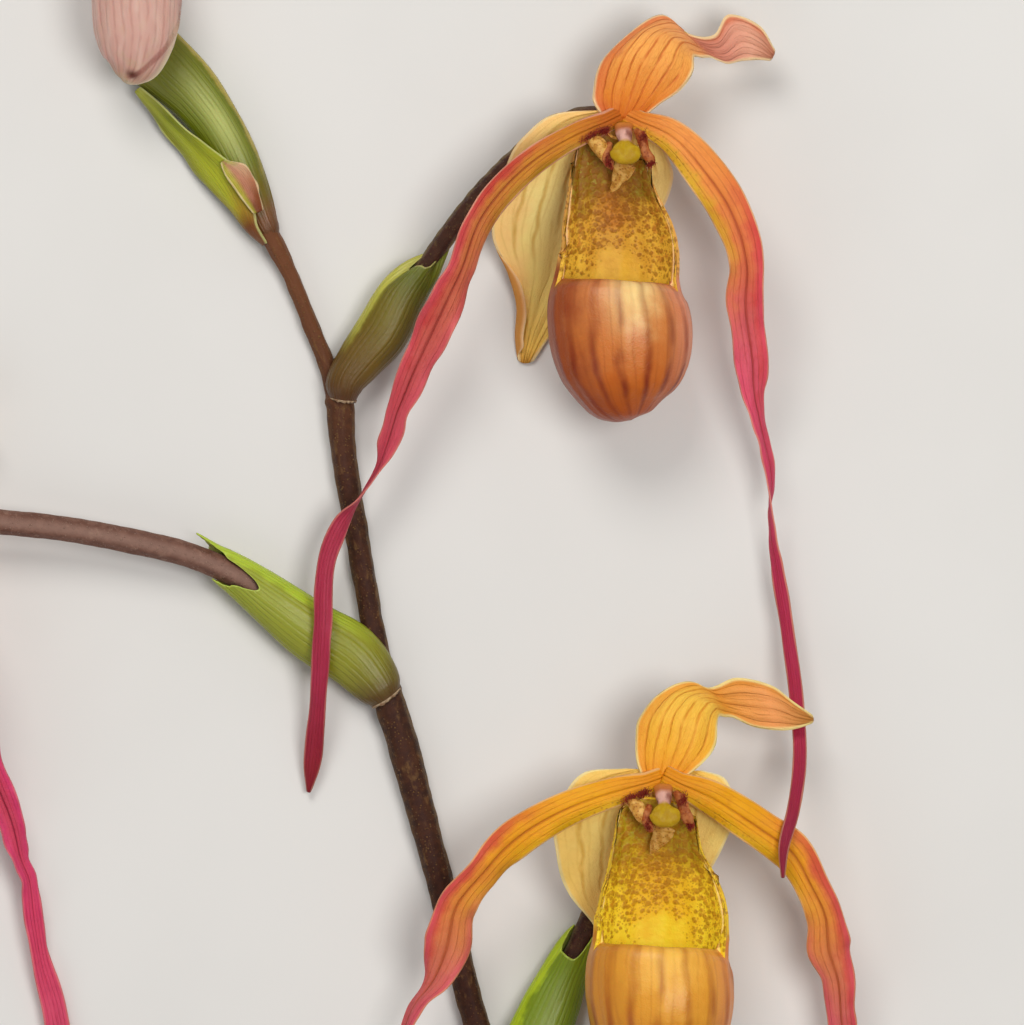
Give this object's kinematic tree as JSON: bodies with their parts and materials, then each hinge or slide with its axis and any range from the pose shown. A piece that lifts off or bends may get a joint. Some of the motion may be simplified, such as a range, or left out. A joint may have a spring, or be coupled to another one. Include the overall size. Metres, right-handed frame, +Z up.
{
  "type": "phragmipedium orchid",
  "caption": "cut slipper orchid spike lying down: zigzag stem, sheathing bracts, open flowers with long twisted petals and rounded pouches, and a nodding bud",
  "frame": {"origin": "on the surface that the spike lies on, below the middle of its box", "axes": "+Z up from the surface and towards the viewer of the open flowers, +Y from the cut end towards the bud, +X to the right as the flowers face the viewer"},
  "size_m": [0.3144, 0.4016, 0.0443],
  "materials": {
    "stem_brown": "satin",
    "ovary_brown": "satin",
    "bract_green": "satin",
    "bud_pink": "satin",
    "petal_red": "satin",
    "sepal_orange": "satin",
    "synsepal_yellow": "satin",
    "lip_orange": "satin",
    "column_green": "satin"
  },
  "bodies": {
    "root": {"main_stem": "stem_brown", "ovary_1": "ovary_brown", "ovary_2": "ovary_brown", "ovary_3": "ovary_brown", "bud_stalk": "ovary_brown", "bract_1": "bract_green", "bract_2": "bract_green", "bract_3": "bract_green", "top_bract": "bract_green", "side_bract": "bract_green", "small_bract": "bract_green", "bud": "bud_pink", "petal_left_1": "petal_red", "petal_right_1": "petal_red", "petal_left_2": "petal_red", "petal_right_2": "petal_red", "petal_left_3": "petal_red", "petal_right_3": "petal_red", "dorsal_sepal_1": "sepal_orange", "dorsal_sepal_2": "sepal_orange", "dorsal_sepal_3": "sepal_orange", "synsepal_1": "synsepal_yellow", "synsepal_2": "synsepal_yellow", "synsepal_3": "synsepal_yellow", "lip_1": "lip_orange", "lip_2": "lip_orange", "lip_3": "lip_orange", "column_1": "column_green", "column_2": "column_green", "column_3": "column_green"}
  },
  "joints": []
}
